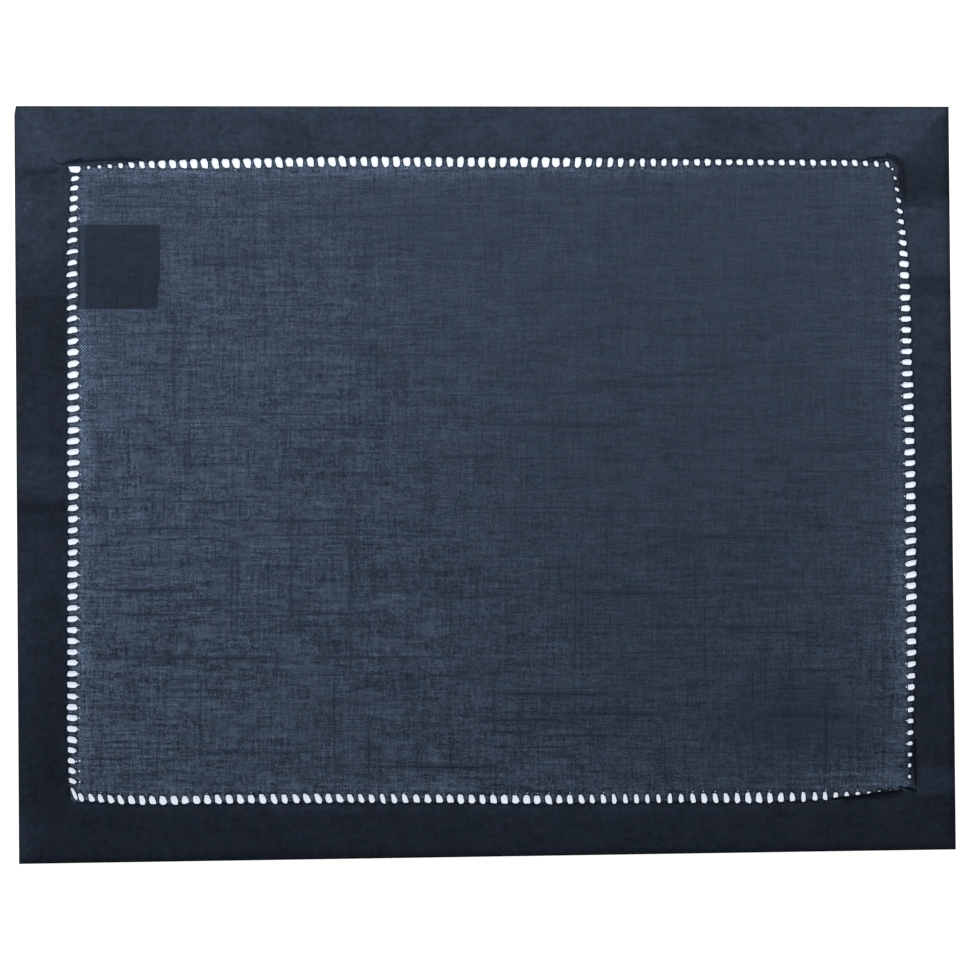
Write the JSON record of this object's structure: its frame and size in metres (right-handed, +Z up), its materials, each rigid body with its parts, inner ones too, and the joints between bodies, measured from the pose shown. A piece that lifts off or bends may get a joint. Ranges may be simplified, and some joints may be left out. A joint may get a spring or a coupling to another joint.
{
  "type": "fabric placemat",
  "caption": "Rectangular sheer navy table mat with a wide mitred hem, a drawn-thread hemstitch row inside it and a plain blank label underneath, for laying under a place setting.",
  "frame": {"origin": "on the surface the mat lies on, under the middle of its outline", "axes": "+X along the longer edges, +Y along the shorter edges, away from the diner, +Z up out of the front of the cloth"},
  "size_m": [0.4592, 0.3696, 0.0025],
  "materials": {
    "cloth": "sheer navy slub plain weave with a matt surface, opaque where the hem folds it double and treble",
    "label": "plain dark woven tape, unprinted"
  },
  "bodies": {
    "root": {"placemat_cloth": "cloth", "blank_label": "label"}
  },
  "joints": []
}
